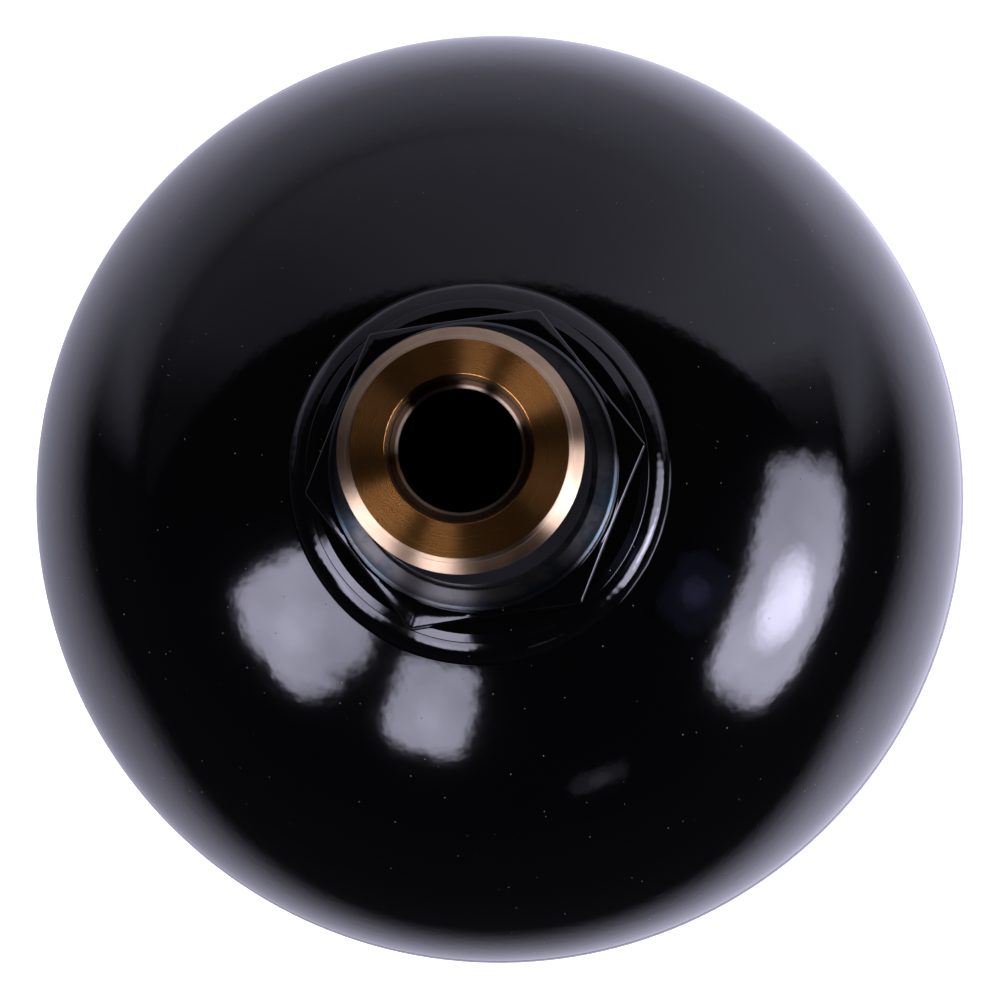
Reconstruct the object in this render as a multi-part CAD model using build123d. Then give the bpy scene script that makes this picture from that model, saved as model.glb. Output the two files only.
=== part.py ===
from build123d import *

import os
from math import cos, radians, sqrt, tan

# Welded diaphragm accumulator, standing on its protective cap with the fluid port up.
# Millimetres, +Z along the port axis, z = 0 at the flat end of the cap.

# Vessel: two half shells joined by a seam weld at the equator
vessel_diameter = 136.0
wall = 5.0
seam_root_gap = 3.0
seam_width = 6.6
seam_crown = 0.45
weld_leg = 2.7
weld_fullness = 1.9
weld_root_gap = 0.1

# Port body: hexagon, sealing shoulder and M33 x 1.5 stub round an M18 x 1.5 port
spigot_radius = 20.0
neck_radius = 23.8
neck_height = 4.0
neck_chamfer = 1.2
hex_across_flats = 41.0
hex_height = 6.9
hex_turn = 8.0
hex_chamfer_angle = 30.0
hex_chamfer_inset = 0.4
shoulder_radius = 19.75
shoulder_height = 5.0
shoulder_chamfer = 0.4
stub_radius = 16.5
stub_length = 37.0
pilot_radius = 15.0
pilot_length = 2.3
relief_depth = 1.2
relief_width = 3.0
undercut_depth = 0.4
undercut_margin = 0.5
port_mouth_radius = 9.9
port_taper_depth = 2.4
port_taper_angle = 15.0
port_minor_radius = 8.188
port_drill_depth = 17.5
drill_half_angle = 59.0
passage_radius = 5.0
passage_chamfer = 1.0

# Diaphragm, its closing button and the ring that clamps its bead
soft_gap = 0.3
diaphragm_thickness = 2.7
pad_thickness = 3.0
bead_height = 5.8
bead_depth = 4.2
groove_depth = 1.0
button_radius = 15.0
button_thickness = 2.5
button_chamfer = 0.8
button_neck_radius = 4.5
anchor_radius = 9.0
anchor_thickness = 2.0
ring_thickness = 2.5
ring_skirt = 5.0
ring_wall_gap = 0.2

# Gas boss, M28 x 1.5 outside, with the M12 x 1.5 charging screw and its seal inside
boss_spigot_radius = 15.0
collar_radius = 18.0
collar_height = 3.1
boss_thread_radius = 14.0
boss_thread_length = 11.5
boss_chamfer = 1.2
screw_bore_radius = 6.0
screw_bore_depth = 11.0
gas_hole_radius = 1.5
recess_radius = 8.5
recess_depth = 5.0
running_fit = 0.05
screw_length = 9.5
screw_head_radius = 8.0
screw_head_height = 3.0
screw_chamfer = 0.8
socket_across_flats = 6.0
socket_depth = 6.5
seal_thickness = 1.5
seal_bore_gap = 0.1
seal_width = 1.9

# Protective cap, ribbed for the hand
cap_radius = 17.6
cap_height = 16.5
cap_end_thickness = 3.0
cap_chamfer = 1.0
cap_thread_gap = 0.1
rib_count = 30
rib_radius = 0.8
rib_stand_out = 0.5
rib_margin = 2.2


def chord(sphere_radius, radius):
    """Distance of a sphere's surface from its centre plane, at a radius off the axis."""
    return sqrt(sphere_radius**2 - radius**2)


# Radii and heights that follow from the sizes above
outer_radius = vessel_diameter / 2
inner_radius = outer_radius - wall
boss_end = cap_height - boss_thread_length
recess_floor = boss_end + recess_depth
head_face = recess_floor - seal_thickness
collar_top = cap_height + collar_height
centre = collar_top + weld_root_gap + chord(outer_radius, boss_spigot_radius)
boss_inner_end = centre - chord(inner_radius, boss_spigot_radius)
seat = centre + chord(inner_radius, spigot_radius)
neck_base = centre + chord(outer_radius, spigot_radius) + weld_root_gap
hex_base = neck_base + neck_height
hex_top = hex_base + hex_height
shoulder = hex_top + shoulder_height
port_end = shoulder + stub_length
bead_outer_radius = inner_radius + groove_depth - soft_gap
bead_inner_radius = bead_outer_radius - bead_depth
lip_top = centre + ring_thickness
bead_base = lip_top + soft_gap
bead_top = bead_base + bead_height
button_base = seat - button_thickness
pad_top = button_base - soft_gap
pad_base = pad_top - pad_thickness
anchor_top = pad_base - soft_gap


def rect(r0, r1, z0, z1):
    """Rectangle in the section plane, between two radii and two heights."""
    return Pos((r0 + r1) / 2, (z0 + z1) / 2) * Rectangle(r1 - r0, z1 - z0)


def ball(radius):
    """Disc about the vessel's centre in the section plane."""
    return Pos(0, centre) * Circle(radius)


def wall_section(r0, z0, z1):
    """Section of the vessel's wall outside a radius and between two heights."""
    return (ball(outer_radius) - ball(inner_radius)) & rect(r0, vessel_diameter, z0, z1)


def outline(*points):
    """Section through corners given as radius and height."""
    return make_face(Polyline(*points, close=True))


def turned(section):
    """Solid turned about the axis."""
    return revolve(Plane.XZ * section, Axis.Z)


def hexagon(across_flats, z0, z1, turn=0.0):
    """Hexagonal bar between two heights, one corner turned off the X axis."""
    bar = extrude(RegularPolygon(across_flats / 2, 6, major_radius=False), z1 - z0)
    return Pos(0, 0, z0) * Rot(0, 0, turn) * bar


def port_half_shell():
    """Fluid-side half shell, with the groove that takes the diaphragm's bead."""
    section = wall_section(spigot_radius, centre + seam_root_gap / 2, port_end)
    groove_radius = inner_radius + groove_depth
    return turned(section - rect(bead_inner_radius, groove_radius, lip_top, bead_top + soft_gap))


def gas_half_shell():
    """Gas-side half shell, open at the pole for the gas boss."""
    return turned(wall_section(boss_spigot_radius, 0, centre - seam_root_gap / 2))


def equator_weld():
    """Seam weld through the wall, crowned a little proud of the shells."""
    gap = seam_root_gap / 2
    half_width = seam_width / 2
    rise = outer_radius + seam_crown - chord(outer_radius, half_width)
    crown_radius = (half_width**2 + rise**2) / (2 * rise)
    crown_centre = outer_radius + seam_crown - crown_radius
    crown = Pos(crown_centre, centre) * Circle(crown_radius) - ball(outer_radius)
    return turned(wall_section(0, centre - gap, centre + gap) + crown)


def fillet_weld(corner_radius, side):
    """Convex bead in the corner between the vessel and a turned neck on it."""
    corner = centre + side * chord(outer_radius, corner_radius)
    bead_radius = sqrt((weld_leg + weld_fullness) ** 2 + weld_fullness**2)
    bead_centre = Pos(corner_radius - weld_fullness, corner - side * weld_fullness)
    bead = bead_centre * Circle(bead_radius) - ball(outer_radius)
    return turned(bead - rect(-corner_radius, corner_radius, centre - outer_radius * 2, port_end))


def port_body():
    """Port body turned from hexagon bar, with the port bored through its axis."""
    taper_radius = port_mouth_radius - port_taper_depth * tan(radians(port_taper_angle))
    taper_end = port_end - port_taper_depth
    thread_start = taper_end - (taper_radius - port_minor_radius)
    drill_end = port_end - port_drill_depth
    drill_tip = (port_minor_radius - passage_radius) / tan(radians(drill_half_angle))
    relief_radius = stub_radius - relief_depth
    undercut_radius = stub_radius + undercut_margin
    stub_chamfer = stub_radius - pilot_radius
    section = outline(
        (passage_radius + passage_chamfer, seat),
        (passage_radius, seat + passage_chamfer),
        (passage_radius, drill_end - drill_tip),
        (port_minor_radius, drill_end),
        (port_minor_radius, thread_start),
        (taper_radius, taper_end),
        (port_mouth_radius, port_end),
        (pilot_radius, port_end),
        (pilot_radius, port_end - pilot_length),
        (stub_radius, port_end - pilot_length - stub_chamfer),
        (stub_radius, shoulder + relief_width),
        (relief_radius, shoulder + relief_width - relief_depth),
        (relief_radius, shoulder - undercut_depth),
        (undercut_radius, shoulder - undercut_depth),
        (undercut_radius, shoulder),
        (shoulder_radius - shoulder_chamfer, shoulder),
        (shoulder_radius, shoulder - shoulder_chamfer),
        (shoulder_radius, hex_base),
        (neck_radius - neck_chamfer, hex_base),
        (neck_radius, hex_base - neck_chamfer),
        (neck_radius, neck_base),
        (spigot_radius, neck_base),
        (spigot_radius, seat),
    )
    corner_radius = hex_across_flats / 2 / cos(radians(30))
    chamfer_radius = hex_across_flats / 2 - hex_chamfer_inset
    chamfer_drop = (corner_radius - chamfer_radius) * tan(radians(hex_chamfer_angle))
    corner_base = hex_base - neck_chamfer
    blank = outline(
        (port_minor_radius, corner_base),
        (corner_radius, corner_base),
        (corner_radius, hex_top - chamfer_drop),
        (chamfer_radius, hex_top),
        (port_minor_radius, hex_top),
    )
    nut = turned(blank) & hexagon(hex_across_flats, corner_base, hex_top, hex_turn)
    return turned(section) + nut


def diaphragm():
    """Moulded rubber dome against the fluid-side shell, thickened round the button."""
    dome_radius = inner_radius - soft_gap
    shell_side = ball(dome_radius) - ball(dome_radius - diaphragm_thickness)
    dome = shell_side & rect(0, inner_radius, bead_base, seat - soft_gap)
    pad = ball(dome_radius) & rect(0, inner_radius, pad_base, seat - soft_gap)
    bead = rect(bead_inner_radius, bead_outer_radius, bead_base, bead_top)
    button_recess = rect(0, button_radius + soft_gap, pad_top, seat)
    neck_hole = rect(0, button_neck_radius + soft_gap, pad_base, pad_top)
    return turned(dome + pad + bead - button_recess - neck_hole)


def closing_button():
    """Button fixed through the diaphragm, which closes the port when no fluid is left."""
    return turned(
        outline(
            (0, anchor_top - anchor_thickness),
            (anchor_radius - button_chamfer, anchor_top - anchor_thickness),
            (anchor_radius, anchor_top - anchor_thickness + button_chamfer),
            (anchor_radius, anchor_top),
            (button_neck_radius, anchor_top),
            (button_neck_radius, button_base),
            (button_radius, button_base),
            (button_radius, seat - button_chamfer),
            (button_radius - button_chamfer, seat),
            (0, seat),
        )
    )


def clamp_ring():
    """Formed ring: a skirt that backs the seam, a lip under the bead and a band inside it."""
    band_outer = bead_inner_radius - soft_gap
    band_inner = band_outer - ring_thickness
    skirt_outer = chord(inner_radius, ring_skirt) - ring_wall_gap
    skirt = rect(skirt_outer - ring_thickness, skirt_outer, centre - ring_skirt, lip_top)
    lip = rect(band_inner, skirt_outer, lip_top - ring_thickness, lip_top)
    band = rect(band_inner, band_outer, lip_top - ring_thickness, bead_top)
    return turned(skirt + lip + band)


def gas_boss():
    """Turned boss welded into the gas-side pole, recessed for the charging screw."""
    bore_end = recess_floor + screw_bore_depth
    drill_tip = (screw_bore_radius - gas_hole_radius) / tan(radians(drill_half_angle))
    return turned(
        outline(
            (recess_radius, boss_end),
            (boss_thread_radius - boss_chamfer, boss_end),
            (boss_thread_radius, boss_end + boss_chamfer),
            (boss_thread_radius, cap_height),
            (collar_radius, cap_height),
            (collar_radius, collar_top),
            (boss_spigot_radius, collar_top),
            (boss_spigot_radius, boss_inner_end),
            (gas_hole_radius, boss_inner_end),
            (gas_hole_radius, bore_end + drill_tip),
            (screw_bore_radius, bore_end),
            (screw_bore_radius, recess_floor),
            (recess_radius, recess_floor),
        )
    )


def charging_screw():
    """Screw that shuts the gas bore, with a hexagon socket for the charging key."""
    shank_radius = screw_bore_radius - running_fit
    head_end = head_face - screw_head_height
    shank_end = head_face + screw_length
    body = outline(
        (0, head_end),
        (screw_head_radius - screw_chamfer, head_end),
        (screw_head_radius, head_end + screw_chamfer),
        (screw_head_radius, head_face),
        (shank_radius, head_face),
        (shank_radius, shank_end - screw_chamfer),
        (shank_radius - screw_chamfer, shank_end),
        (0, shank_end),
    )
    return turned(body) - hexagon(socket_across_flats, head_end, head_end + socket_depth)


def charging_seal():
    """Flat seal ring between the screw's head and the boss."""
    bore = screw_bore_radius + seal_bore_gap
    return turned(rect(bore, bore + seal_width, head_face, recess_floor))


def protective_cap():
    """Moulded screw cap over the gas boss, with grip ribs; the object stands on its end."""
    bore = boss_thread_radius + cap_thread_gap
    cup = turned(
        outline(
            (0, 0),
            (cap_radius - cap_chamfer, 0),
            (cap_radius, cap_chamfer),
            (cap_radius, cap_height),
            (bore, cap_height),
            (bore, cap_end_thickness),
            (0, cap_end_thickness),
        )
    )
    rib = Cylinder(rib_radius, cap_height - 2 * rib_margin)
    rib_offset = cap_radius + rib_stand_out - rib_radius
    ribs = PolarLocations(rib_offset, rib_count) * rib
    return cup + [Pos(0, 0, cap_height / 2) * piece for piece in ribs]


pieces = {
    "port_half_shell": port_half_shell(),
    "gas_half_shell": gas_half_shell(),
    "equator_weld": equator_weld(),
    "port_body": port_body(),
    "port_weld": fillet_weld(neck_radius, 1),
    "gas_boss": gas_boss(),
    "gas_boss_weld": fillet_weld(collar_radius, -1),
    "clamp_ring": clamp_ring(),
    "diaphragm": diaphragm(),
    "closing_button": closing_button(),
    "charging_screw": charging_screw(),
    "charging_seal": charging_seal(),
    "protective_cap": protective_cap(),
}

os.makedirs("parts", exist_ok=True)
for name, piece in pieces.items():
    export_step(piece, f"parts/{name}.step")
    print(name, round(piece.volume), "mm3")
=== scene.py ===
import math

import bmesh
import bpy
from mathutils import Matrix, Vector, noise


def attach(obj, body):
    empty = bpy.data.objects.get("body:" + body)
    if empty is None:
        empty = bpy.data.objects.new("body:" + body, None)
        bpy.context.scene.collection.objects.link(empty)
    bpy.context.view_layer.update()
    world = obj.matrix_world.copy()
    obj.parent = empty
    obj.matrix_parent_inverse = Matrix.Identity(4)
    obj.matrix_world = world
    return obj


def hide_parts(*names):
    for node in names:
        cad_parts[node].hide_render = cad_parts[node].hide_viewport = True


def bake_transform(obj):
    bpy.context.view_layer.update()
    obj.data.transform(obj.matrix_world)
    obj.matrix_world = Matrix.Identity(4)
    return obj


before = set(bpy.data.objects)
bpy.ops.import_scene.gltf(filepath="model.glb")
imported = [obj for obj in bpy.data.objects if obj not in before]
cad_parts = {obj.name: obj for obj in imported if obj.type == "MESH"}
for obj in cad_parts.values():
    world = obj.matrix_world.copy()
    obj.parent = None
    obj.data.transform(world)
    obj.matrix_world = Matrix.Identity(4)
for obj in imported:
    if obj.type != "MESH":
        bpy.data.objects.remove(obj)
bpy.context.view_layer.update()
mm = 0.001
turn = 2 * math.pi
up = (0, 0, 1)
centre = 86.025                                 # height of the vessel's centre, mm
vesselRadius = 68.0
innerRadius = 63.0
mergeReach = 1e-6                               # metres within which copied points become one
print("frame loaded:", len(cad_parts), "nodes")


class Wire:
    # one output of a node, with the sums that the finishes need

    def __init__(self, tree, socket):
        self.tree = tree
        self.socket = socket

    def sum(self, operation, first, second):
        step = self.tree.nodes.new("ShaderNodeMath")
        step.operation = operation
        for slot, value in zip(step.inputs, (first, second)):
            plug(self.tree, value, slot)
        return Wire(self.tree, step.outputs[0])

    def __add__(self, other):
        return self.sum("ADD", self, other)

    def __radd__(self, other):
        return self.sum("ADD", other, self)

    def __sub__(self, other):
        return self.sum("SUBTRACT", self, other)

    def __rsub__(self, other):
        return self.sum("SUBTRACT", other, self)

    def __mul__(self, other):
        return self.sum("MULTIPLY", self, other)

    def __rmul__(self, other):
        return self.sum("MULTIPLY", other, self)

    def __truediv__(self, other):
        return self.sum("DIVIDE", self, other)

    def __rtruediv__(self, other):
        return self.sum("DIVIDE", other, self)

    def out(self, name):
        return Wire(self.tree, self.socket.node.outputs[name])


def plug(tree, value, slot):
    if isinstance(value, Wire):
        tree.links.new(value.socket, slot)
    elif value is not None:
        slot.default_value = value


class Finish:
    # a material or the world, built node by node

    def __init__(self, name, owner=None):
        self.owner = owner or bpy.data.materials.new(name)
        self.owner.use_nodes = True
        self.tree = self.owner.node_tree
        self.tree.nodes.clear()
        kind = "ShaderNodeOutputWorld" if owner else "ShaderNodeOutputMaterial"
        self.end = self.tree.nodes.new(kind)

    def node(self, kind, settings=None, sockets=None, out=0):
        made = self.tree.nodes.new("ShaderNode" + kind)
        for key, value in (settings or {}).items():
            if key == "stops":
                ramp = made.color_ramp.elements
                while len(ramp) < len(value):
                    ramp.new(1.0)
                for stop, (place, colour) in zip(ramp, value):
                    stop.position = place
                    grey = not isinstance(colour, tuple)
                    stop.color = (colour, colour, colour, 1.0) if grey else (*colour, 1.0)
            else:
                setattr(made, key, value)
        for key, value in (sockets or {}).items():
            plug(self.tree, value, made.inputs[key])
        return Wire(self.tree, made.outputs[out])

    def place(self):
        return self.node("TexCoord", out="Object")

    def parts(self, vector):
        split = self.node("SeparateXYZ", sockets={0: vector})
        return split.out("X"), split.out("Y"), split.out("Z")

    def high(self, value, low, high):
        # 0 below low, 1 above high, smooth in between
        return self.node("MapRange", {"interpolation_type": "SMOOTHSTEP"},
                         {"Value": value, "From Min": low, "From Max": high})

    def mix(self, amount, first, second):
        return self.node("Mix", {"data_type": "RGBA"}, {0: amount, 6: first, 7: second}, out=2)

    def noise(self, scale, detail=2.0, roughness=0.5, vector=None, **more):
        return self.node("TexNoise", None, {"Vector": vector or self.place(), "Scale": scale,
                                            "Detail": detail, "Roughness": roughness, **more})

    def surface(self, **sockets):
        shader = self.node("BsdfPrincipled", None, sockets)
        self.tree.links.new(shader.socket, self.end.inputs["Surface"])
        return self.owner


def rgb(red, green, blue):
    return (red, green, blue, 1.0)


def arc(radius, first, last, count, height=centre):
    # points of a section along a ball about the axis, angles from +Z in degrees
    angles = [math.radians(first + (last - first) * i / count) for i in range(count + 1)]
    return [(radius * math.sin(a), height + radius * math.cos(a)) for a in angles]


def chord(radius, offset):
    return math.sqrt(radius**2 - offset**2)


def polar(radius, offset):
    # angle from +Z at which a ball's surface is this far off the axis, degrees
    return math.degrees(math.asin(offset / radius))


def slant(radius, height):
    # angle from +Z at which a ball's surface is this far above its centre, degrees
    return math.degrees(math.acos(height / radius))


def flanked(corners, closed):
    # a point on each side of a rounded corner, just past its rounding, keeps the flats' shading flat
    margin = 0.02
    rows = []
    for i, corner in enumerate(corners):
        size = corner[2] if len(corner) > 2 else 0
        sides = []
        for step in (-1, 1):
            inside = closed or 0 <= i + step < len(corners)
            other = corners[(i + step) % len(corners)]
            away = Vector(other[:2]) - Vector(corner[:2])
            taken = size + (other[2] if len(other) > 2 else 0) + 3 * margin
            flank = Vector(corner[:2]) + away.normalized() * (size + margin)
            sides.append([tuple(flank)] if size and inside and away.length > taken else [])
        rows += sides[0] + [corner] + sides[1]
    return rows


def section(bm, corners, closed=True):
    # wire through (radius, height) or (radius, height, rounding) corners, mm
    corners = flanked(corners, closed)
    points = [bm.verts.new((c[0] * mm, 0, c[1] * mm)) for c in corners]
    for first, second in zip(points, points[1:] + points[:1] if closed else points[1:]):
        bm.edges.new((first, second))
    sizes = [c[2] if len(c) > 2 else 0 for c in corners]
    for size in sorted(set(sizes) - {0}):
        chosen = [p for p, s in zip(points, sizes) if s == size]
        bmesh.ops.bevel(bm, geom=chosen, offset=size * mm, offset_type="OFFSET", segments=3,
                        profile=0.5, affect="VERTICES", material=-1)


def turned(corners, steps=192, closed=True):
    # a section spun about the axis
    bm = bmesh.new()
    section(bm, corners, closed)
    spinFull(bm, bm.verts[:] + bm.edges[:], steps)
    return bm


def spinFull(bm, geometry, steps):
    # an eighth of the turn is spun, the rest are copies of it
    bmesh.ops.spin(bm, geom=geometry, cent=(0, 0, 0), axis=up, angle=turn / 8, steps=steps // 8)
    eighth = bm.verts[:] + bm.edges[:] + bm.faces[:]
    for i in range(1, 8):
        copy = bmesh.ops.duplicate(bm, geom=eighth)["geom"]
        bmesh.ops.rotate(bm, cent=(0, 0, 0), matrix=Matrix.Rotation(turn * i / 8, 3, "Z"),
                         verts=[g for g in copy if isinstance(g, bmesh.types.BMVert)])
    bmesh.ops.remove_doubles(bm, verts=bm.verts, dist=mergeReach)


def made(bm, name, materials, body="vessel", replaces=(), slot=None, sharp=32, tidy=True):
    # mesh object from a bmesh, riding on its body
    if tidy:
        bmesh.ops.remove_doubles(bm, verts=bm.verts, dist=mergeReach / 10)
        bmesh.ops.recalc_face_normals(bm, faces=bm.faces)
    loose = sum(1 for e in bm.edges if len(e.link_faces) != 2)
    mesh = bpy.data.meshes.new(name)
    bm.to_mesh(mesh)
    bm.free()
    for material in materials:
        mesh.materials.append(material)
    mesh.shade_smooth()
    mesh.set_sharp_from_angle(angle=math.radians(sharp))
    piece = bpy.data.objects.new(name, mesh)
    bpy.context.scene.collection.objects.link(piece)
    if body:
        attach(piece, body)
    if replaces:
        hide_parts(*replaces)
    print("made", name, len(mesh.polygons), "faces,", f"{loose} open edges" if loose else "closed")
    return piece


def radial(vertex):
    return math.hypot(vertex.co.x, vertex.co.y), math.atan2(vertex.co.y, vertex.co.x)


def place(vertex, radius, angle, height=None):
    vertex.co.x = radius * math.cos(angle)
    vertex.co.y = radius * math.sin(angle)
    if height is not None:
        vertex.co.z = height


def smoothStep(value):
    value = min(1.0, max(0.0, value))
    return value * value * (3 - 2 * value)


enamel = {
    "colour": rgb(0.0007, 0.0007, 0.0008),
    "dust": rgb(0.30, 0.30, 0.32),
    "roughness": 0.06,
    "peelSize": 0.0016,          # metres between the waves of the orange peel
    "peelHeight": 0.000013,
    "swellSize": 0.009,
    "swellHeight": 0.000022,
    "dustSize": 0.0011,          # one grain of dust may lie in each cell of this size
    "dustShare": 0.12,
    "dustEdge": (0.04, 0.09),    # where a grain ends, in shares of its cell
    "dustHeight": 0.00003,
    "dustRoughness": 0.4,
    "wearScale": 45,
    "wearRoughness": 0.05,
}


def makeEnamel():
    # glossy black paint: orange peel, slow swell from the forging, dust caught in it
    e = enamel
    f = Finish("blackEnamel")
    peel = f.noise(1 / e["peelSize"], 1.5, 0.4)
    swell = f.noise(1 / e["swellSize"], 2.0, 0.5)
    cells = f.node("TexVoronoi", {"feature": "F1"}, {"Vector": f.place(), "Scale": 1 / e["dustSize"]})
    rare = f.node("TexWhiteNoise", {"noise_dimensions": "3D"}, {"Vector": cells.out("Position")})
    grain = 1 - f.high(cells.out("Distance"), *e["dustEdge"])
    speck = grain * f.high(rare, 1 - e["dustShare"], 1.001 - e["dustShare"])
    height = peel * e["peelHeight"] + swell * e["swellHeight"] + speck * e["dustHeight"]
    bump = f.node("Bump", None, {"Strength": 1.0, "Distance": mm, "Height": height * (1 / mm)})
    worn = f.noise(e["wearScale"], 3.0, 0.55)
    return f.surface(**{
        "Base Color": f.mix(speck, e["colour"], e["dust"]),
        "Roughness": e["roughness"] + worn * e["wearRoughness"] + speck * e["dustRoughness"],
        "Normal": bump,
        "IOR": 1.5,
    })


gold = {
    "colour": rgb(0.80, 0.355, 0.088),
    "stain": rgb(0.72, 0.30, 0.07),
    "roughness": 0.27,
    "ringing": 0.010,            # how much the roughness changes from ring to ring
    "stainScale": 220,
    "stained": (0.35, 0.75),     # share of the noise from which the stain shows, and is full
}
# a paler copy of the bronze for the edge, pilot and chamfer: painted reflection
paintedReflectionBand = {
    "colour": rgb(0.95, 0.70, 0.455),
    "stain": rgb(0.80, 0.57, 0.36),
    "roughness": 0.42,
    "ringing": 0.09,
    "stainScale": 220,
    "stained": (0.35, 0.75),
}
mouthShadeSteel = {
    "roughness": 0.27,
    "ringing": 0.03,
    "within": 0.008,             # the colours run outward from this radius, metres
    "reach": 0.002,
    # the dark stops from 0.36 to 0.60 are painted shade where the thread starts; the others are the
    # steel's own colours
    "stops": [(0.0, (0.34, 0.26, 0.18)), (0.27, (0.34, 0.26, 0.18)), (0.36, (0.07, 0.04, 0.02)),
              (0.60, (0.07, 0.04, 0.02)), (0.72, (0.25, 0.145, 0.075)), (1.0, (0.34, 0.19, 0.08))],
}
bareSteel = {
    "inner": rgb(0.46, 0.435, 0.41),
    "outer": rgb(0.12, 0.12, 0.12),
    "stain": rgb(0.09, 0.155, 0.19),
    "roughness": 0.34,
    "ringing": 0.06,
    "stainScale": 140,
    "stained": (0.45, 0.7),
    "shadedFrom": (0.0181, 0.0194),    # radius from which shade is painted on the shoulder, and is full, metres
}
ringsPerMetre = 3200.0


def latheMarks(f, finish):
    # roughness that changes from ring to ring along the turned section, and the radius
    x, y, z = f.parts(f.place())
    square = x * x + y * y
    radius = square.sum("SQRT", square, None)
    rings = f.node("TexNoise", {"noise_dimensions": "1D"},
                   {"W": (radius - z) * ringsPerMetre, "Scale": 1.0, "Detail": 3.0})
    return finish["roughness"] + (rings - 0.5) * (2 * finish["ringing"]), radius


def turnedSurface(f, colour, roughness):
    # the marks run round the axis, so the shine spreads out along the radius
    return f.surface(**{"Base Color": colour, "Metallic": 1.0, "Roughness": roughness,
                        "Anisotropic": 1.0, "Anisotropic Rotation": 0.25})


def makeTurned(name, finish):
    f = Finish(name)
    roughness = latheMarks(f, finish)[0]
    stained = f.high(f.noise(finish["stainScale"], 3.0, 0.6), *finish["stained"])
    return turnedSurface(f, f.mix(stained, finish["colour"], finish["stain"]), roughness)


def makeMouthSteel():
    # oiled recess, with a painted shade darkest where the port's thread starts
    m = mouthShadeSteel
    f = Finish("mouthShadeSteel")
    roughness, radius = latheMarks(f, m)
    colour = f.node("ValToRGB", {"stops": m["stops"]}, {"Fac": (radius - m["within"]) / m["reach"]})
    return turnedSurface(f, colour, roughness)


def makeBareSteel():
    # dark oxide with blue-green stains, and shade painted darker towards the shoulder's edge
    b = bareSteel
    f = Finish("blueGreySteel")
    roughness, radius = latheMarks(f, b)
    stained = f.high(f.noise(b["stainScale"], 4.0, 0.6), *b["stained"])
    # the outer colour towards the shoulder's edge is painted shade
    plain = f.mix(f.high(radius, *b["shadedFrom"]), b["inner"], b["outer"])
    return turnedSurface(f, f.mix(stained, plain, b["stain"]), roughness)


steelMarks = {"scale": 900, "height": 0.00003, "darkening": 0.8, "roughening": 0.12}
# near-black colours that paint the stub thread's shade
threadShadeBlack = {"high": rgb(0.013, 0.013, 0.014), "low": rgb(0.008, 0.008, 0.009), "roughness": 0.82}


def makePlainSteel(name, colour, roughness):
    s = steelMarks
    f = Finish(name)
    marks = f.noise(s["scale"], 3.0, 0.6)
    bump = f.node("Bump", None, {"Strength": 0.4, "Distance": s["height"], "Height": marks})
    worn = rgb(*(c * s["darkening"] for c in colour))
    return f.surface(**{"Base Color": f.mix(marks, rgb(*colour), worn), "Metallic": 1.0,
                        "Roughness": roughness + marks * s["roughening"], "Normal": bump})


def makeDarkThread():
    # painted near black and dull as shade, so that it stays dark where it is seen edge on
    f = Finish("shadePaintedThread")
    marks = f.noise(steelMarks["scale"], 3.0, 0.6)
    roughness = threadShadeBlack["roughness"] + marks * steelMarks["roughening"]
    return f.surface(**{"Base Color": f.mix(marks, threadShadeBlack["high"], threadShadeBlack["low"]),
                        "Roughness": roughness, "Specular IOR Level": 0.04})


rubberSkin = {
    "fresh": rgb(0.018, 0.018, 0.018), "bloomed": rgb(0.035, 0.034, 0.032),
    "bloomScale": 160, "bloomRoughness": 0.15, "grainScale": 2600, "grainHeight": 0.00005,
}
plasticSkin = {
    "plain": rgb(0.016, 0.016, 0.017), "flowed": rgb(0.026, 0.026, 0.027),
    "flowScale": 70, "roughness": 0.42, "flowRoughness": 0.16,
    "grainScale": 1900, "grainHeight": 0.00006,
}


def makeRubber(name, roughness):
    r = rubberSkin
    f = Finish(name)
    bloom = f.noise(r["bloomScale"], 4.0, 0.6)
    grain = f.noise(r["grainScale"], 2.0, 0.6)
    bump = f.node("Bump", None, {"Strength": 0.5, "Distance": r["grainHeight"], "Height": grain})
    return f.surface(**{"Base Color": f.mix(bloom, r["fresh"], r["bloomed"]),
                        "Roughness": roughness + bloom * r["bloomRoughness"], "Normal": bump})


def makePlastic():
    p = plasticSkin
    f = Finish("mouldedBlackPlastic")
    grain = f.noise(p["grainScale"], 2.0, 0.5)
    flow = f.noise(p["flowScale"], 3.0, 0.5)
    bump = f.node("Bump", None, {"Strength": 0.5, "Distance": p["grainHeight"], "Height": grain})
    return f.surface(**{"Base Color": f.mix(flow, p["plain"], p["flowed"]),
                        "Roughness": p["roughness"] + flow * p["flowRoughness"], "Normal": bump})


blackEnamel = makeEnamel()
turnedBronze = makeTurned("turnedBronze", gold)
paintedReflectionBronze = makeTurned("paintedReflectionBronze", paintedReflectionBand)
recessSteel = makeMouthSteel()
shadePaintedThread = makeDarkThread()
blueGreySteel = makeBareSteel()
boreSteel = makePlainSteel("boreSteel", (0.20, 0.21, 0.24), 0.35)
platedSteel = makePlainSteel("platedSteel", (0.50, 0.51, 0.53), 0.3)
formedSteel = makePlainSteel("formedSteel", (0.42, 0.42, 0.43), 0.36)
nitrileRubber = makeRubber("nitrileRubber", 0.62)
sealRubber = makeRubber("sealRubber", 0.5)
blackPlastic = makePlastic()
print("finishes made")


shells = {
    "steps": 256,
    "arcSteps": 72,
    "spigot": 20.0,
    "bossSpigot": 15.0,
    "halfGap": 1.5,
    "grooveRadius": 64.0,
    "lipTop": 88.525,
    "grooveTop": 94.925,
    "grooveRounding": 0.25,
    "insideSteps": 40,
}


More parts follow.
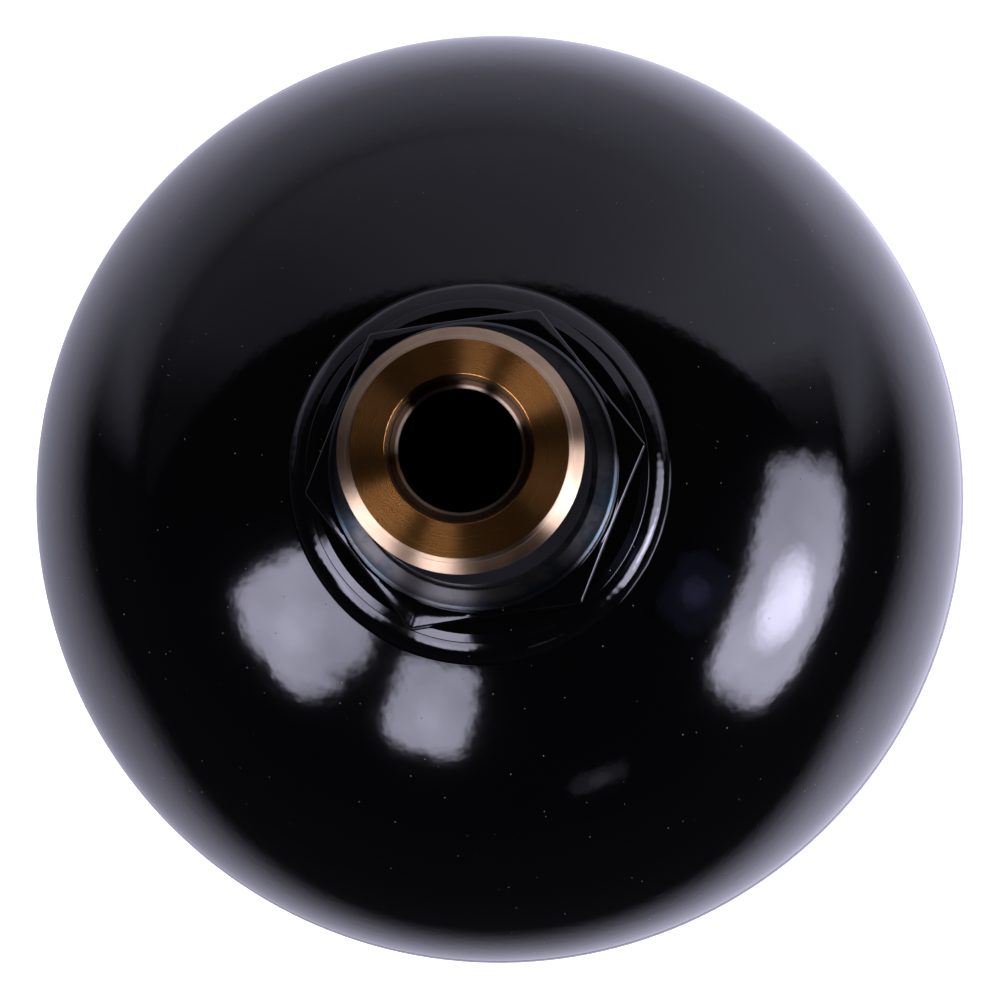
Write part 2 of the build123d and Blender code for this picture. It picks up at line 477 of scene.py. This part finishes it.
def makePortShell():
    s = shells
    gapAngle = 90 - polar(vesselRadius, s["halfGap"])
    gapInner = 90 - polar(innerRadius, s["halfGap"])
    lowLip = slant(innerRadius, s["lipTop"] - centre)
    highLip = slant(innerRadius, s["grooveTop"] - centre)
    outside = arc(vesselRadius, polar(vesselRadius, s["spigot"]), gapAngle, s["arcSteps"])
    under = arc(innerRadius, gapInner, lowLip, 2)
    groove = [(s["grooveRadius"], s[end], s["grooveRounding"]) for end in ("lipTop", "grooveTop")]
    inside = arc(innerRadius, highLip, polar(innerRadius, s["spigot"]), s["insideSteps"])
    bm = turned(outside + under + groove + inside, s["steps"])
    made(bm, "portShell", [blackEnamel], replaces=["port_half_shell"], slot="vessel_paint")


def makeGasShell():
    s = shells
    gapAngle = 90 + polar(vesselRadius, s["halfGap"])
    gapInner = 90 + polar(innerRadius, s["halfGap"])
    outside = arc(vesselRadius, gapAngle, 180 - polar(vesselRadius, s["bossSpigot"]), s["arcSteps"])
    inside = arc(innerRadius, 180 - polar(innerRadius, s["bossSpigot"]), gapInner, s["insideSteps"])
    bm = turned(outside + inside, s["steps"])
    made(bm, "gasShell", [blackEnamel], replaces=["gas_half_shell"], slot="vessel_paint")


makePortShell()
makeGasShell()


seamWeld = {
    "width": 6.6, "crown": 0.22, "crownPoints": 14, "toeSink": 0.02, "skin": 0.35, "steps": 1200,
    "ripples": 200, "rippleHeight": 0.012, "sweep": 3.9, "sway": 0.7, "sways": 9,
    "lumpHeight": 0.02, "lumpScale": 14, "lumpLayers": 300,
}
neckWeld = {
    "leg": 2.7, "fullness": 1.9, "portNeck": 23.8, "gasNeck": 18.0, "points": 20, "toeSink": 0.05,
    "steps": 720, "ripples": 120, "rippleHeight": 0.008, "sweep": 8.8, "sway": 0.8, "sways": 7,
    "lumpHeight": 0.12, "lumpScale": 5, "streakScale": 3, "streakLayers": 26, "streakDepth": 0.035,
    "toeDrift": 0.45, "toeShare": 0.12, "toeScale": 9, "toeSeed": 4.0,
}


def beadOutline(centreR, centreZ, beadRadius, first, last, count):
    # points of a section round a bead, angles from outward in degrees
    angles = [math.radians(first + (last - first) * i / count) for i in range(count + 1)]
    return [(centreR + beadRadius * math.cos(a), centreZ + beadRadius * math.sin(a)) for a in angles]


def roundNoise(angle, scale, layer):
    # noise that closes after one turn
    return noise.noise(Vector((math.cos(angle) * scale, math.sin(angle) * scale, layer)))


def ripple(weld, angle, bend):
    # height of the solidified ripples, 0 on their crests
    sway = weld["sway"] * math.sin(weld["sways"] * angle)
    return weld["rippleHeight"] * (math.sin(weld["ripples"] * angle + bend + sway) - 1) * 0.5


def makeSeamWeld():
    w = seamWeld
    half = w["width"] / 2
    edge = chord(vesselRadius, half)
    rise = vesselRadius + w["crown"] - edge
    crownRadius = (half**2 + rise**2) / (2 * rise)
    reach = math.degrees(math.asin(half / crownRadius))
    crown = beadOutline(vesselRadius + w["crown"] - crownRadius, centre, crownRadius,
                        -reach, reach, w["crownPoints"])
    gapAngle = polar(innerRadius, shells["halfGap"])
    root = arc(innerRadius, 90 - gapAngle, 90 + gapAngle, 2)
    toeHigh = arc(vesselRadius - w["toeSink"], 90 - polar(vesselRadius, half),
                  90 - polar(vesselRadius, shells["halfGap"]), 3)
    toeLow = [(r, 2 * centre - z) for r, z in reversed(toeHigh)]
    bm = turned(crown + toeHigh[1:] + root + toeLow[:-1], w["steps"])
    for v in bm.verts:
        radius, angle = radial(v)
        across = (v.co.z / mm - centre) / half
        if radius > (vesselRadius - w["skin"]) * mm and abs(across) < 1.01:
            dent = min(0.0, roundNoise(angle, w["lumpScale"], v.co.z * w["lumpLayers"]))
            wave = ripple(w, angle, w["sweep"] * across * across)
            lift = (1 - across * across) * (wave + w["lumpHeight"] * dent)
            place(v, radius + lift * mm, angle)
    made(bm, "seamWeld", [blackEnamel], replaces=["equator_weld"], slot="vessel_paint", sharp=50)


def makeNeckWeld(name, node, neck, side):
    w = neckWeld
    corner = chord(vesselRadius, neck)
    beadRadius = math.hypot(w["leg"] + w["fullness"], w["fullness"])
    centreR, centreZ = neck - w["fullness"], corner - w["fullness"]
    top = math.degrees(math.acos((neck - centreR) / beadRadius))
    low = top
    while math.hypot(*beadOutline(centreR, centreZ, beadRadius, low, low, 1)[0]) >= vesselRadius:
        low -= 0.5                               # down to where the bead meets the ball
    bead = beadOutline(centreR, centreZ, beadRadius, top, low, w["points"])
    toe = bead[-1][0]
    back = [toe + (neck - toe) * share for share in (0.33, 0.66, 1.0)]
    under = [(r, chord(vesselRadius - w["toeSink"], r)) for r in back]
    points = [(r, centre + side * z) for r, z in bead + under]
    bm = turned(points, w["steps"])
    for v in bm.verts:
        radius, angle = radial(v)
        height = side * (v.co.z / mm - centre)
        out = math.hypot(radius / mm - centreR, height - centreZ)
        if out > beadRadius - 0.02:
            along = math.atan2(height - centreZ, radius / mm - centreR)
            share = (math.degrees(along) - low) / (top - low)
            fade = math.sin(math.pi * min(1.0, max(0.0, share)))
            lump = w["lumpHeight"] * min(0.0, roundNoise(angle, w["lumpScale"], share * 2))
            lift = fade * (ripple(w, angle, w["sweep"] * (share - 0.5) ** 2) + lump)
            streak = min(0.0, roundNoise(angle, w["streakScale"], share * w["streakLayers"]))
            nearToe = smoothStep((0.45 - share) / 0.2) * smoothStep(share / 0.1)
            lift += w["streakDepth"] * streak * nearToe
            reach = 1 + lift / out
            place(v, (centreR + (radius / mm - centreR) * reach) * mm, angle,
                  (centre + side * (centreZ + (height - centreZ) * reach)) * mm)
            if share < w["toeShare"]:             # the toe wanders a little on the vessel
                drift = w["toeDrift"] * roundNoise(angle, w["toeScale"], w["toeSeed"])
                wide = radial(v)[0] / mm + drift * (1 - share / w["toeShare"])
                place(v, wide * mm, angle, (centre + side * chord(vesselRadius, wide)) * mm)
    made(bm, name, [blackEnamel], replaces=[node], slot="vessel_paint", sharp=50)


makeSeamWeld()
makeNeckWeld("portWeld", "port_weld", neckWeld["portNeck"], 1)
makeNeckWeld("gasWeld", "gas_boss_weld", neckWeld["gasNeck"], -1)


def helix(bm, rootRadius, crestRadius, pitch, low, high, steps, shape):
    # one pitch of a 60 degree thread spun up the axis, from low to high, mm
    depth = abs(crestRadius - rootRadius)
    flank = depth * math.tan(math.radians(30))
    crestFlat = pitch / 8
    rootFlat = pitch - 2 * flank - crestFlat
    heights = [0, rootFlat / 2, rootFlat / 2 + flank, rootFlat / 2 + flank + crestFlat,
               rootFlat / 2 + 2 * flank + crestFlat, pitch]
    radii = [rootRadius, rootRadius, crestRadius, crestRadius, rootRadius, rootRadius]
    start = low - pitch
    turns = math.ceil((high - low) / pitch) + 2
    points = [bm.verts.new((r * mm, 0, (start + z) * mm)) for r, z in zip(radii, heights)]
    edges = [bm.edges.new(pair) for pair in zip(points, points[1:])]
    bmesh.ops.spin(bm, geom=points + edges, cent=(0, 0, 0), axis=up, angle=turn, steps=steps,
                   dvec=(0, 0, pitch / steps * mm))
    first = bm.verts[:] + bm.edges[:] + bm.faces[:]
    for i in range(1, turns):                    # the same turn again, a pitch higher each time
        copy = bmesh.ops.duplicate(bm, geom=first)["geom"]
        bmesh.ops.translate(bm, verts=[g for g in copy if isinstance(g, bmesh.types.BMVert)],
                            vec=(0, 0, i * pitch * mm))
    bmesh.ops.remove_doubles(bm, verts=bm.verts, dist=2 * mergeReach)
    for v in bm.verts:
        radius, angle = radial(v)
        place(v, shape(radius / mm, v.co.z / mm) * mm, angle)
    for height, side in ((low, -1), (high, 1)):
        bmesh.ops.bisect_plane(bm, geom=bm.verts[:] + bm.edges[:] + bm.faces[:], dist=1e-8,
                               plane_co=(0, 0, height * mm), plane_no=(0, 0, side),
                               clear_outer=True)


def rim(bm, height, nearRadius):
    # the open edges at a height, nearest a radius
    found = []
    for e in bm.edges:
        if e.is_boundary and all(abs(v.co.z / mm - height) < 0.004 for v in e.verts):
            if all(abs(radial(v)[0] / mm - nearRadius) < 0.5 for v in e.verts):
                found.append(e)
    return found


portBody = {
    "seat": 145.766, "spigot": 20.0, "neckBase": 151.117, "neck": 23.8,
    "neckChamfer": 1.2, "chamferDrop": 0.8,
    "hexBase": 155.117, "hexTop": 162.017, "acrossFlats": 41.0, "hexTurn": 8.0,
    "hexInset": 0.4, "hexChamfer": 1.0, "cornerRounding": 0.6,
    "shoulder": 167.017, "shoulderRadius": 19.75, "portEnd": 204.017,
    "relief": 15.3, "reliefWidth": 3.0, "undercut": 17.0,
    "threadRoot": 15.58, "crest": 16.38, "pilot": 15.0, "pilotLength": 2.3, "faceBreak": 0.5,
    "edgeWander": 0.035, "wanderScale": 40, "paintedEdge": 0.28,
    "farOut": 60.0,                  # radius at which the hexagon waits in the section
    "cornerPull": 0.85,              # how far the columns gather at its corners, 0 to 1
    "mouth": 9.9, "mouthDepth": 2.4, "mouthRadius": 9.257,
    "minor": 8.188, "major": 9.0, "drillEnd": 186.517, "drillCone": 1.916, "passage": 5.0,
    "stubThreadLow": 1.0, "stubThreadHigh": 0.3,      # how far the threads' bands stay from
    "boreThreadLow": 0.6, "boreThreadHigh": 0.4,      # the forms below and above them
    "pitch": 1.5, "steps": 240, "stubThreadSteps": 120, "boreThreadSteps": 96,
}


def hexRadius(angle, flat, rounding):
    # distance from the axis to a rounded hexagon's side
    sector = math.radians(60)
    off = (angle - math.radians(portBody["hexTurn"]) + sector / 2) % sector - sector / 2
    corner = (flat - rounding) / math.cos(sector / 2)
    tangent = math.atan2((flat - rounding) * math.tan(sector / 2), flat)
    if sector / 2 - abs(off) < tangent:
        return flat / math.cos(sector / 2 - abs(off))
    return corner * math.cos(off) + math.sqrt(rounding**2 - (corner * math.sin(off)) ** 2)


def makePortBody():
    b = portBody
    flat = b["acrossFlats"] / 2
    inset = flat - b["hexInset"]
    slope = math.tan(math.radians(30))
    lowThread = b["shoulder"] + b["stubThreadLow"]
    chamferBase = b["portEnd"] - b["pilotLength"] - (b["crest"] - b["pilot"])
    highThread = chamferBase - b["stubThreadHigh"]
    coneEnd = b["portEnd"] - b["mouthDepth"] - (b["mouthRadius"] - b["minor"])
    boreTop = coneEnd - b["boreThreadHigh"]
    boreLow = b["drillEnd"] + b["boreThreadLow"]
    ledge = b["neck"] - b["neckChamfer"]
    farOut = b["farOut"]

    # everything outside the two threads, as two open sections
    bm = bmesh.new()
    section(bm, [
        (b["minor"], boreLow), (b["minor"], b["drillEnd"], 0.1),
        (b["passage"], b["drillEnd"] - b["drillCone"], 0.2),
        (b["passage"], b["seat"] + 1.0), (b["passage"] + 1.0, b["seat"], 0.15),
        (b["spigot"], b["seat"], 0.2), (b["spigot"], b["neckBase"]),
        (b["neck"], b["neckBase"]), (b["neck"], b["hexBase"] - b["chamferDrop"], 0.12),
        (ledge, b["hexBase"]),
        (farOut, b["hexBase"]), (farOut, b["hexTop"] - b["hexChamfer"], b["paintedEdge"]),
        (inset, b["hexTop"], 0.05),
        (b["shoulderRadius"], b["hexTop"], 0.12),
        (b["shoulderRadius"], b["shoulder"] - 0.4, 0.12),
        (b["shoulderRadius"] - 0.4, b["shoulder"], 0.12),
        (b["undercut"], b["shoulder"], 0.08), (b["undercut"], b["shoulder"] - 0.4, 0.12),
        (b["relief"], b["shoulder"] - 0.4, 0.3), (b["relief"], lowThread),
    ], closed=False)
    section(bm, [
        (b["crest"], highThread), (b["crest"], chamferBase, 0.08),
        (b["pilot"], b["portEnd"] - b["pilotLength"], 0.08),
        (b["pilot"], b["portEnd"] - b["faceBreak"], 0.1),
        (b["pilot"] - b["faceBreak"], b["portEnd"], 0.08), (b["mouth"], b["portEnd"], 0.1),
        (b["mouthRadius"], b["portEnd"] - b["mouthDepth"], 0.06), (b["minor"], coneEnd, 0.14),
        (b["minor"], boreTop),
    ], closed=False)
    spinFull(bm, bm.verts[:] + bm.edges[:], b["steps"])

    # pull the far corners of the section in to the hexagon, column by column
    startAngle = math.radians(b["hexTurn"])
    for v in bm.verts:
        radius, angle = radial(v)
        angle -= b["cornerPull"] / 6 * math.sin(6 * (angle - startAngle))
        radius /= mm
        height = v.co.z / mm
        side = hexRadius(angle, flat, b["cornerRounding"])
        stand = max(ledge, side + 0.1)              # the corners reach onto the neck's chamfer
        drop = (stand - ledge) * b["chamferDrop"] / b["neckChamfer"]
        if abs(radius - ledge) < 0.01 and abs(height - b["hexBase"]) < 0.01:
            radius = stand
            height -= drop
        elif radius > farOut / 2 and height > b["hexBase"] + 3:
            rough = roundNoise(angle, b["wanderScale"], height * 0.4)
            back = farOut - radius                  # how far the rounding stands inside
            fall = height - (b["hexTop"] - b["hexChamfer"] * (1 - back / (farOut - inset)))
            radius = side - back
            height = b["hexTop"] - (radius - inset) * slope + fall
            radius += b["edgeWander"] * rough
        elif radius > farOut / 2:
            radius = side
            height -= drop
        place(v, radius * mm, angle, height * mm)

    def outer(radius, height):
        runOut = b["relief"] + max(0.0, height - (b["shoulder"] + b["reliefWidth"] - 1.2))
        runIn = b["threadRoot"] + max(0.0, height - highThread + 1.1)
        return min(max(radius, min(runIn, b["crest"])), max(b["relief"], runOut))

    def inner(radius, height):
        runOut = smoothStep((height - b["drillEnd"] - 1.0) / 2.5)
        runIn = smoothStep((boreTop - height - 0.1) / 1.6)
        return b["minor"] + (radius - b["minor"]) * runOut * runIn

    def finishAt(radius, height):
        offBore = radius > b["minor"] + 1.5
        if height > chamferBase - 0.2 and radius > b["pilot"] - b["faceBreak"] - 0.03:
            return paintedReflectionBronze                       # edge, pilot and chamfer, in a paler bronze that paints their reflection
        if height > boreTop and radius < b["mouth"] + 0.02:
            return recessSteel
        if height > boreTop and radius < b["pilot"]:
            return turnedBronze
        if height > b["shoulder"] + 0.02 and offBore:
            # the thread is painted near black as shade
            return shadePaintedThread
        if height > b["shoulder"] - 0.9 and offBore:
            return blueGreySteel
        if radius < b["minor"] + 1.2 or height < b["neckBase"]:
            return boreSteel
        return blackEnamel

    stubThread, boreThread = bmesh.new(), bmesh.new()
    helix(stubThread, b["threadRoot"], b["crest"], b["pitch"], lowThread, highThread,
          b["stubThreadSteps"], outer)
    helix(boreThread, b["major"], b["minor"], b["pitch"], boreLow, boreTop,
          b["boreThreadSteps"], inner)
    for extra in (stubThread, boreThread):
        carrier = bpy.data.meshes.new("carrier")
        extra.to_mesh(carrier)
        extra.free()
        bm.from_mesh(carrier)
        bpy.data.meshes.remove(carrier)
    for height, radius in ((lowThread, b["relief"]), (highThread, b["crest"]),
                           (boreLow, b["minor"]), (boreTop, b["minor"])):
        loops = rim(bm, height, radius)
        bmesh.ops.bridge_loops(bm, edges=loops)
    bmesh.ops.remove_doubles(bm, verts=bm.verts, dist=mergeReach)
    bmesh.ops.recalc_face_normals(bm, faces=bm.faces)
    finishes = [blackEnamel, turnedBronze, blueGreySteel, boreSteel, paintedReflectionBronze, shadePaintedThread,
                recessSteel]
    for face in bm.faces:
        middle = face.calc_center_median() / mm
        radius = math.hypot(middle.x, middle.y)
        face.material_index = finishes.index(finishAt(radius, middle.z))
    made(bm, "portBody", finishes, replaces=["port_body"], slot="port_steel", tidy=False)


makePortBody()
print("port body made")


rubber = {
    "dome": 62.7, "thickness": 2.7, "beadBase": 88.825, "beadTop": 94.625,
    "beadInner": 59.5, "beadOuter": 63.7, "padTop": 142.966, "padBase": 139.966,
    "topHeight": 145.466, "recess": 15.3, "neckHole": 4.8,
    "steps": 128, "domeSteps": 40,
}


def makeDiaphragm():
    d = rubber
    inside = d["dome"] - d["thickness"]
    outerStart = slant(d["dome"], d["topHeight"] - centre)
    outerEnd = slant(d["dome"], d["beadTop"] - centre)
    innerStart = slant(inside, d["padBase"] - centre)
    innerEnd = slant(inside, d["beadTop"] - centre)
    points = [(d["neckHole"], d["padBase"], 0.3), (d["neckHole"], d["padTop"], 0.3),
              (d["recess"], d["padTop"], 0.4), (d["recess"], d["topHeight"], 0.3)]
    points += arc(d["dome"], outerStart, outerEnd, d["domeSteps"])
    points += [(d["beadOuter"], d["beadTop"], 0.6), (d["beadOuter"], d["beadBase"], 1.2),
               (d["beadInner"], d["beadBase"], 1.2), (d["beadInner"], d["beadTop"] - 0.8, 0.3)]
    points += arc(inside, innerEnd, innerStart, d["domeSteps"])
    bm = turned(points, d["steps"])
    piece = made(bm, "diaphragmDome", [nitrileRubber], body=None, replaces=["diaphragm"],
                 slot="diaphragm_rubber")
    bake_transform(piece)


makeDiaphragm()


cap = {
    "radius": 17.6, "height": 16.5, "end": 3.0, "bore": 14.1, "ribs": 30, "ribHeight": 0.5,
    "ribMargin": 2.2, "ribWidth": 0.35, "ribRunOut": 1.2, "ribRows": 12, "stepsPerRib": 12,
    "recess": 0.5, "recessRadius": 12.0, "gate": 1.6, "gateRise": 0.3,
}


def makeCap():
    c = cap
    rows = c["ribRows"]
    gateEnd = c["recess"] - c["gateRise"]
    side = [(c["radius"], c["height"] - (c["height"] - 1.0) * i / rows) for i in range(rows - 1, 0, -1)]
    points = [(0, gateEnd), (c["gate"], gateEnd, 0.1), (c["gate"], c["recess"], 0.1),
              (c["recessRadius"], c["recess"], 0.3), (c["recessRadius"], 0, 0.15),
              (c["radius"], 0, 1.0)]
    points += side
    points += [(c["radius"], c["height"], 0.3), (c["bore"], c["height"], 0.4),
               (c["bore"], c["end"], 0.4), (0, c["end"])]
    bm = turned(points, c["ribs"] * c["stepsPerRib"], closed=False)
    for v in bm.verts:
        radius, angle = radial(v)
        height = v.co.z / mm
        if radius > (c["radius"] - 0.05) * mm:
            wave = max(0.0, math.cos(c["ribs"] * angle) + c["ribWidth"]) / (1 + c["ribWidth"])
            ends = min(height - c["ribMargin"], c["height"] - c["ribMargin"] - height)
            lift = c["ribHeight"] * math.sqrt(wave) * smoothStep(ends / c["ribRunOut"] + 0.5)
            place(v, radius + lift * mm, angle)
    made(bm, "ribbedCap", [blackPlastic], body="cap", replaces=["protective_cap"],
         slot="cap_plastic", sharp=40)


makeCap()

nodeFinishes = {
    "gas_boss": platedSteel, "charging_screw": platedSteel, "charging_seal": sealRubber,
    "clamp_ring": formedSteel, "closing_button": formedSteel,
}
for node, material in nodeFinishes.items():
    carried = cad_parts[node]
    if not carried.material_slots:
        carried.data.materials.append(material)
    for materialSlot in carried.material_slots:
        materialSlot.link = "OBJECT"
        materialSlot.material = material
print("carried nodes finished")


view = {
    "lens": 269.06, "sensor": 36, "near": 0.05, "far": 20,
    "distance": 1.1, "lean": 0.0711, "leanX": 0.625, "leanY": -0.781,
    "shiftRight": 0.00013, "shiftDown": 0.00019,
}


def makeCamera():
    # above the port, a little to the lower right
    v = view
    aim = Vector((0, 0, centre * mm))
    back = Vector((v["leanX"] * v["lean"], v["leanY"] * v["lean"], math.sqrt(1 - v["lean"] ** 2)))
    back.normalize()
    right = Vector((0, 1, 0)).cross(back).normalized()
    above = back.cross(right)
    spot = aim + back * v["distance"] + right * v["shiftRight"] - above * v["shiftDown"]
    data = bpy.data.cameras.new("camera")
    data.lens = v["lens"]
    data.sensor_width = v["sensor"]
    data.clip_start, data.clip_end = v["near"], v["far"]
    camera = bpy.data.objects.new("camera", data)
    camera.matrix_world = Matrix.Translation(spot) @ Matrix((right, above, back)).transposed().to_4x4()
    bpy.context.scene.collection.objects.link(camera)
    bpy.context.scene.camera = camera


tint = {"light": (0.95, 0.93, 1.20), "room": (0.95, 0.93, 1.20), "window": (0.6, 0.65, 1.35)}
softboxReach = 0.9               # metres from the vessel's centre
softboxes = [
    # bearing and rise of the middle, width and height, all in degrees; glow, its fall along the
    # width, and how much brighter it is at hotU across the width
    {"name": "stripLight", "bearing": -17.0, "rise": 9.5, "wide": 51.0, "tall": 30.0, "glow": 6.6,
     "fall": 0.3, "hot": 11.0, "hotU": -0.12, "ragged": 0.6, "colour": tint["light"]},
    {"name": "lowerLeftLight", "bearing": 215.0, "rise": 33.0, "wide": 31.0, "tall": 31.0,
     "glow": 6.6, "fall": 0.1, "hot": 1.5, "hotU": 0.0, "ragged": 0.9, "colour": tint["light"]},
    {"name": "lowerLight", "bearing": 254.5, "rise": 34.5, "wide": 20.0, "tall": 27.0, "glow": 6.4,
     "fall": 0.0, "hot": 1.0, "hotU": 0.0, "ragged": 0.8, "colour": tint["light"]},
    {"name": "farWindow", "bearing": -27.0, "rise": 34.0, "wide": 19.0, "tall": 17.0, "glow": 0.12,
     "fall": 0.0, "hot": 0.35, "hotU": 0.0, "ragged": 1.2, "colour": tint["window"]},
    {"name": "farShelf", "bearing": -70.0, "rise": 11.0, "wide": 13.0, "tall": 7.0, "glow": 0.2,
     "fall": 0.0, "hot": 0.25, "hotU": 0.0, "ragged": 1.2, "colour": tint["room"]},
]


def glowing(f, amount, colour):
    # emission whose colour carries the changing level
    shade = f.node("VectorMath", {"operation": "SCALE"}, {0: colour, "Scale": amount})
    return f.node("Emission", None, {"Color": shade, "Strength": 1.0})


def makeSoftboxes():
    reach = softboxReach
    for box in softboxes:
        halfWide = reach * math.tan(math.radians(box["wide"] / 2))
        halfTall = reach * math.tan(math.radians(box["tall"] / 2))
        f = Finish(box["name"])
        x, y = f.parts(f.place())[:2]
        u, v = x / halfWide, y / halfTall
        wander = (f.noise(8.0, 5.0, 0.7) - 0.5) * (2 * box["ragged"])
        mask = 1 - f.high(u * u * u * u + v * v * v * v + wander, 0.25, 1.0)
        near = (u - box["hotU"]) * (u - box["hotU"]) * 5.0 + v * v * 3.0
        gathered = 1 - f.high(near, 0.0, 1.0)
        cloudy = 0.65 + f.noise(4.0, 2.0, 0.5) * 0.7
        glow = mask * cloudy * (box["glow"] * (1 - u * box["fall"]) + gathered * box["hot"])
        light = glowing(f, glow, box["colour"])
        f.tree.links.new(light.socket, f.end.inputs["Surface"])
        bearing, rise = math.radians(box["bearing"]), math.radians(box["rise"])
        level = math.cos(rise)
        away = Vector((math.cos(bearing) * level, math.sin(bearing) * level, math.sin(rise)))
        bm = bmesh.new()
        bmesh.ops.create_grid(bm, x_segments=1, y_segments=1, size=1.0)
        bmesh.ops.scale(bm, verts=bm.verts, vec=(halfWide, halfTall, 1))
        card = staged(bm, box["name"], f.owner)
        card.matrix_world = Matrix.Translation(Vector((0, 0, centre * mm)) + away * reach) @ \
            away.to_track_quat("Z", "Y").to_matrix().to_4x4()
        card.visible_camera = False


def staged(bm, name, material):
    mesh = bpy.data.meshes.new(name)
    bm.to_mesh(mesh)
    bm.free()
    mesh.materials.append(material)
    thing = bpy.data.objects.new(name, mesh)
    bpy.context.scene.collection.objects.link(thing)
    return thing


# how bright the wall is at bearings from 0 to 180 degrees
roomGlow = [(0, 0.02), (12, 0.03), (20, 0.18), (28, 0.72), (45, 0.67), (60, 0.52), (75, 0.43),
            (90, 0.40), (105, 0.36), (120, 0.29), (135, 0.20), (150, 0.17), (163, 0.04), (180, 0.02)]
table = {
    "left": (-0.29, -0.14), "right": (0.13, 0.28), "near": (-0.168, -0.088), "far": (0.12, 0.22),
    "level": 0.76, "rise": 0.27, "brightBearing": 15,
}
pastTable = {
    "from": (0.03, 0.16), "level": 0.576, "acrossX": 0.4, "acrossY": -0.28, "least": 0.12, "most": 0.62,
    "blend": (0.16, 1.4),            # squares of the distances over which it becomes the wall
    "dark": 0.02,
}
room = {
    "floorHalf": 1.8, "radius": 2.0, "level": 0.016, "below": 0.004,
    "wallTilt": 0.87, "wallRise": 0.086, "wallEdge": 0.12, "wallFrom": (0.0, 0.05),
}
worldLight = 0.12


def wallGlow(f, x, y):
    stops = [(bearing / 180, glow) for bearing, glow in roomGlow]
    return f.node("ValToRGB", {"stops": stops}, {"Fac": y.sum("ARCTAN2", y, x) / math.pi})


def makeFloor():
    # white paper to the eye; in the paint it shows as the lit table and what lies past it
    f = Finish("whitePaper")
    t, p = table, pastTable
    x, y = f.parts(f.place())[:2]
    square = x * x + y * y + 0.0001              # never 0, for the division
    bright = math.radians(t["brightBearing"])
    toward = (x * math.cos(bright) + y * math.sin(bright)) / square.sum("SQRT", square, None)
    lengthwise = f.high(x, *t["left"]) * (1 - f.high(x, *t["right"]))
    onTable = lengthwise * f.high(y, *t["near"]) * (1 - f.high(y, *t["far"]))
    close = p["level"] + x * p["acrossX"] + y * p["acrossY"]
    close = close.sum("MINIMUM", close, p["most"])
    close = close.sum("MAXIMUM", close, p["least"])
    away = f.high(square, *p["blend"])
    past = f.high(y, *p["from"]) * (close * (1 - away) + wallGlow(f, x, y) * away)
    level = onTable * (t["level"] + toward * t["rise"]) \
        + (1 - onTable) * past.sum("MAXIMUM", past, p["dark"])
    mirrored = glowing(f, level, tint["room"])
    ray = f.node("LightPath", out="Is Camera Ray")
    paper = f.node("BsdfDiffuse", None, {"Color": rgb(0.8, 0.8, 0.81)})
    lit = f.node("Emission", None, {"Color": rgb(1, 1, 1), "Strength": ray * 0.8})
    seen = f.node("AddShader", None, {0: paper, 1: lit})
    reflected = ray.out("Is Glossy Ray") + ray.out("Is Transmission Ray")
    both = f.node("MixShader", None, {0: reflected, 1: seen, 2: mirrored})
    f.tree.links.new(both.socket, f.end.inputs["Surface"])
    bm = bmesh.new()
    bmesh.ops.create_grid(bm, x_segments=1, y_segments=1, size=room["floorHalf"])
    staged(bm, "floor", f.owner)


def makeRoom():
    # dark room with a pale wall beyond the table: seen in reflections only
    r = room
    f = Finish("darkRoom")
    x, y, z = f.parts(f.place())
    below = f.high(y * r["wallTilt"] - z + r["wallRise"], 0.0, r["wallEdge"])
    level = below * f.high(y, *r["wallFrom"]) * wallGlow(f, x, y) + r["level"]
    light = glowing(f, level, tint["room"])
    f.tree.links.new(light.socket, f.end.inputs["Surface"])
    bm = bmesh.new()
    bmesh.ops.create_icosphere(bm, subdivisions=4, radius=r["radius"])
    bmesh.ops.bisect_plane(bm, geom=bm.verts[:] + bm.edges[:] + bm.faces[:],
                           plane_co=(0, 0, -r["below"]), plane_no=(0, 0, -1), clear_outer=True)
    edges = [e for e in bm.edges if e.is_boundary]
    bmesh.ops.contextual_create(bm, geom=edges)
    shell = staged(bm, "room", f.owner)
    shell.visible_camera = False
    shell.visible_diffuse = False


def makeWorld():
    world = bpy.data.worlds.new("studioWorld")
    bpy.context.scene.world = world
    f = Finish("studioWorld", world)
    path = f.node("LightPath", out="Is Camera Ray")
    seen = path + path.out("Is Glossy Ray") + path.out("Is Transmission Ray")
    strength = worldLight + seen * (1 - worldLight)
    sky = f.node("Background", None, {"Color": rgb(1, 1, 1), "Strength": strength})
    f.tree.links.new(sky.socket, f.end.inputs["Surface"])


makeCamera()
makeSoftboxes()
makeFloor()
makeRoom()
makeWorld()
bpy.context.scene.view_settings.view_transform = "Standard"
print("studio made")
